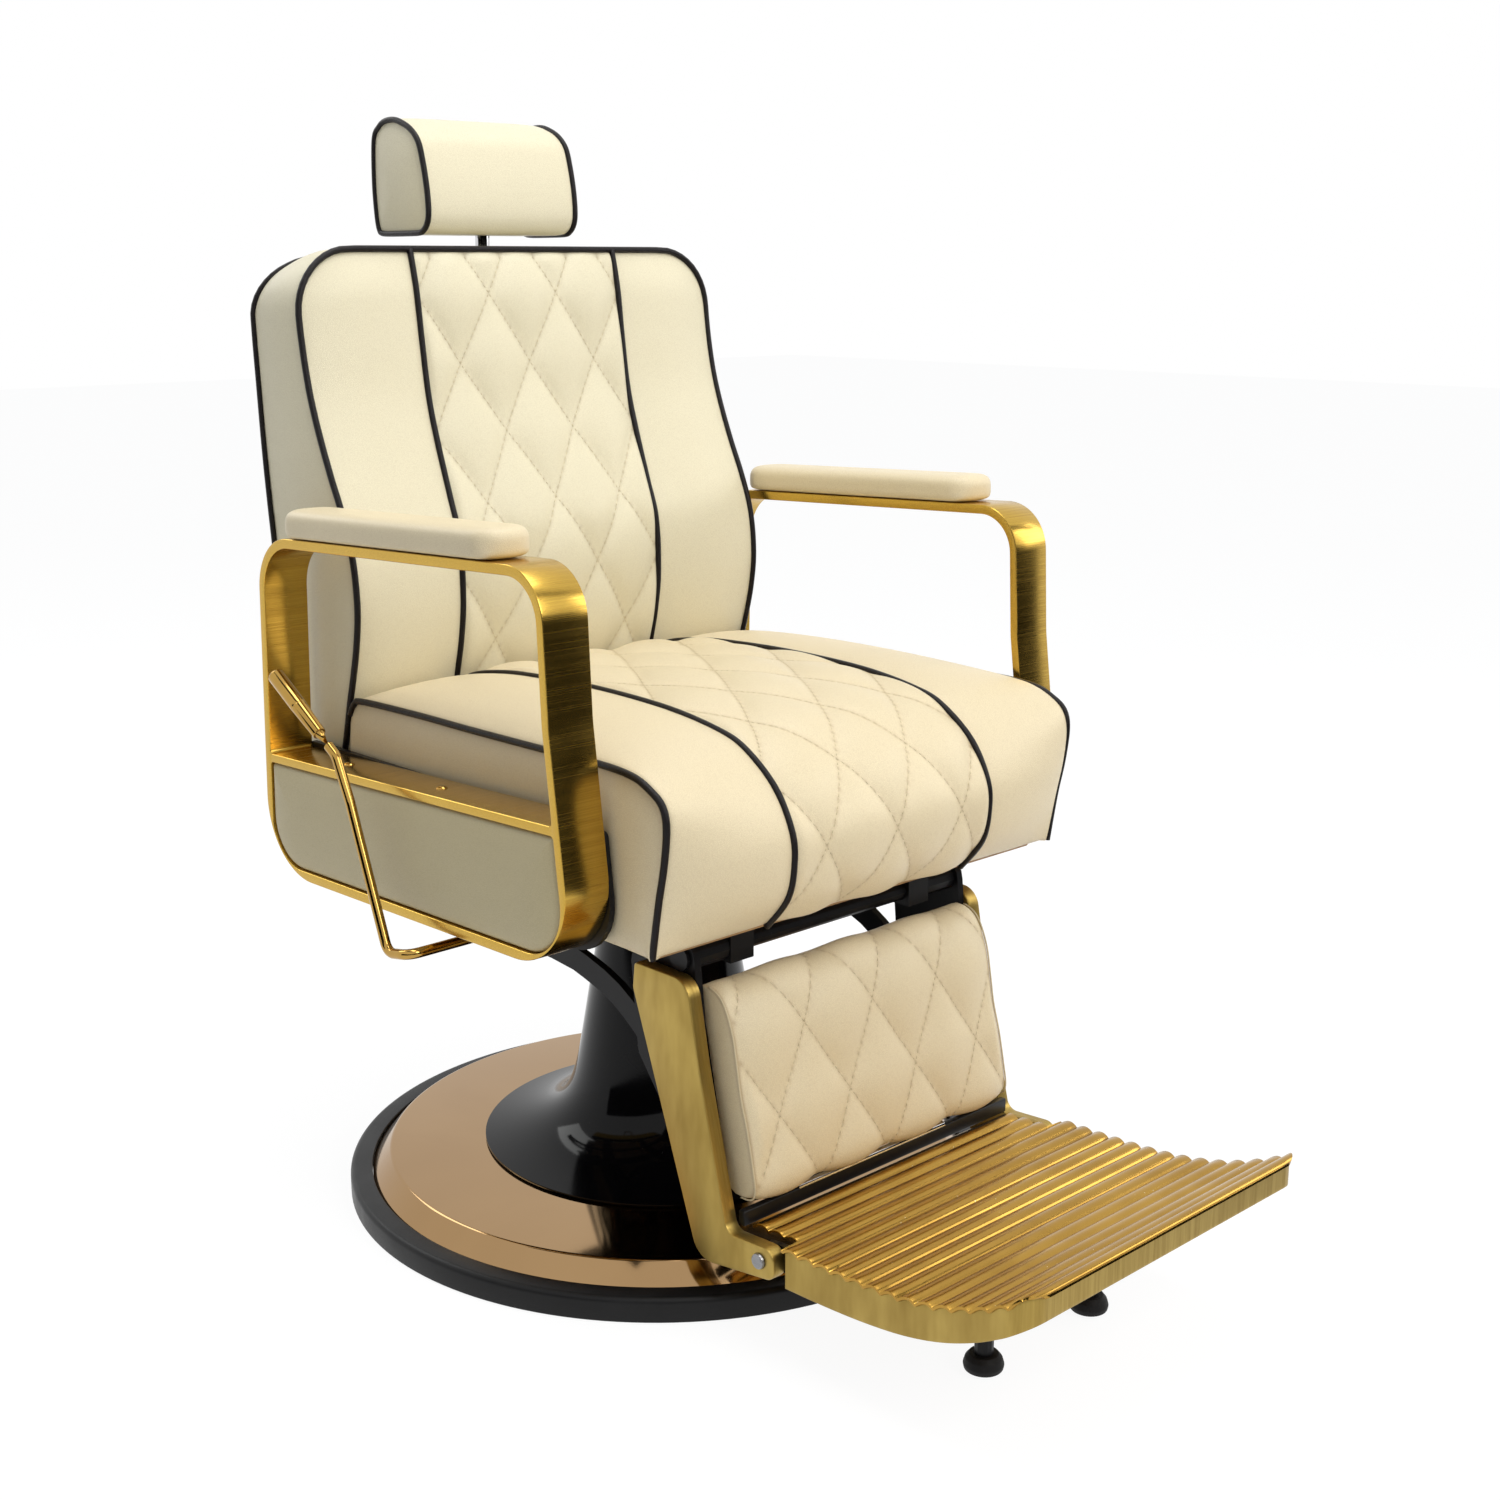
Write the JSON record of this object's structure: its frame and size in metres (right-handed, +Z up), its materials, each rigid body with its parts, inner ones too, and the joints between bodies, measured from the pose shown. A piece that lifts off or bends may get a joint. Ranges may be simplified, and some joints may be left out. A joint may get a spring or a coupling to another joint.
{
  "type": "hydraulic barber chair",
  "caption": "Pedal-pumped swivelling barber chair with quilted seat and back, sliding headrest, strap armrests, linked leg rest and folding ribbed footplate.",
  "frame": {"origin": "centre of the round base, on the floor", "axes": "+Z up; the sitter faces -Y; +X is the sitter's left"},
  "size_m": [0.73, 1.0307, 1.1353],
  "materials": {
    "black_steel": "satin black paint",
    "rubber": "matt",
    "bronze_disc": "polished rose bronze plating",
    "steel": "machined",
    "black_gloss": "gloss black paint",
    "chrome": "polished",
    "plywood": "bare plywood",
    "upholstery": "semi-gloss cream vinyl leather",
    "gold": "brushed gold plating on steel"
  },
  "bodies": {
    "base": {"base_plate": "black_steel", "base_ring": "rubber", "base_disc": "bronze_disc", "base_hub": "black_steel", "thrust_washer": "steel"},
    "column": {"pump_cylinder": "steel", "cylinder_gland": "steel", "column_cover": "black_gloss", "pump_block": "black_steel", "pedal_pin": "steel"},
    "plunger": {"pump_plunger": "chrome"},
    "pedal": {"pump_pedal": "steel", "pedal_tread": "rubber"},
    "seat": {"seat_ram": "chrome", "ram_piston": "steel", "seat_hub": "black_steel", "seat_frame": "black_steel", "arm_carrier_front": "black_steel", "arm_carrier_rear": "black_steel", "seat_pan": "plywood", "lever_bearing": "black_steel", "leg_shaft": "steel", "back_shaft": "steel", "back_pivot_bracket_L": "black_steel", "back_pivot_bracket_R": "black_steel", "seat_cushion": "upholstery", "side_plate_L": "black_steel", "side_plate_R": "black_steel", "arm_frame_L": "gold", "arm_frame_R": "gold", "side_panel_L": "upholstery", "side_panel_R": "upholstery", "arm_pad_L": "upholstery", "arm_pad_R": "upholstery"},
    "back": {"back_cushion": "upholstery", "back_panel": "upholstery", "back_carrier": "black_steel", "headrest_sleeve": "steel"},
    "headrest": {"headrest_cushion": "upholstery", "headrest_post": "chrome"},
    "push_links": {"push_link_L": "black_steel", "push_link_R": "black_steel"},
    "leg_rest": {"calf_pad": "upholstery", "leg_frame": "black_steel", "leg_bar_L": "gold", "leg_bar_R": "gold", "calf_board": "plywood", "footplate_screw_L": "gold", "footplate_screw_R": "gold"},
    "footplate": {"footplate_tread": "gold", "footplate_skirt": "gold", "footplate_frame": "black_steel", "footplate_pad_L": "rubber", "footplate_pad_R": "rubber"},
    "lever": {"lever_rod": "gold", "lever_grip": "gold"}
  },
  "joints": [
    {"name": "swivel", "type": "hinge", "parent": "base", "child": "column", "pos_m": [0, 0, 0.1], "axis": [0, 0, 1], "continuous": true},
    {"name": "pedal_press", "type": "hinge", "parent": "column", "child": "pedal", "pos_m": [0.04384, 0.04384, 0.145], "axis": [-0.7071, 0.7071, 0], "range_deg": [0, 16], "stiffness_Nm_per_rad": 8, "springref_deg": -34.38},
    {"name": "plunger_stroke", "type": "slide", "parent": "column", "child": "plunger", "axis": [0, 0, -1], "range_m": [0, 0.0065]},
    {"name": "lift", "type": "slide", "parent": "column", "child": "seat", "axis": [0, 0, 1], "range_m": [0, 0.16]},
    {"name": "recline", "type": "hinge", "parent": "seat", "child": "back", "pos_m": [0, 0.23, 0.42], "axis": [-1, 0, 0], "range_deg": [0, 55]},
    {"name": "link_turn", "type": "hinge", "parent": "back", "child": "push_links", "pos_m": [0, 0.27987, 0.31306], "axis": [-1, 0, 0], "range_deg": [-55.5, 0.5]},
    {"name": "leg_rest_swing", "type": "hinge", "parent": "seat", "child": "leg_rest", "pos_m": [0, -0.238, 0.351], "axis": [-1, 0, 0], "range_deg": [-0.5, 55.5]},
    {"name": "footplate_fold", "type": "hinge", "parent": "leg_rest", "child": "footplate", "pos_m": [0, -0.36, 0.094], "axis": [1, 0, 0], "range_deg": [-75, 0]},
    {"name": "headrest_height", "type": "slide", "parent": "back", "child": "headrest", "axis": [0, 0, 1], "range_m": [0, 0.08]},
    {"name": "lever_pull", "type": "hinge", "parent": "seat", "child": "lever", "pos_m": [0, -0.06, 0.352], "axis": [1, 0, 0], "range_deg": [0, 15], "stiffness_Nm_per_rad": 2, "springref_deg": -22.92}
  ],
  "couplings": [
    {"joint": "plunger_stroke", "follows": "pedal_press", "m_per_rad": 0.022},
    {"joint": "link_turn", "follows": "recline", "ratio": -1},
    {"joint": "leg_rest_swing", "follows": "recline", "ratio": 1}
  ]
}
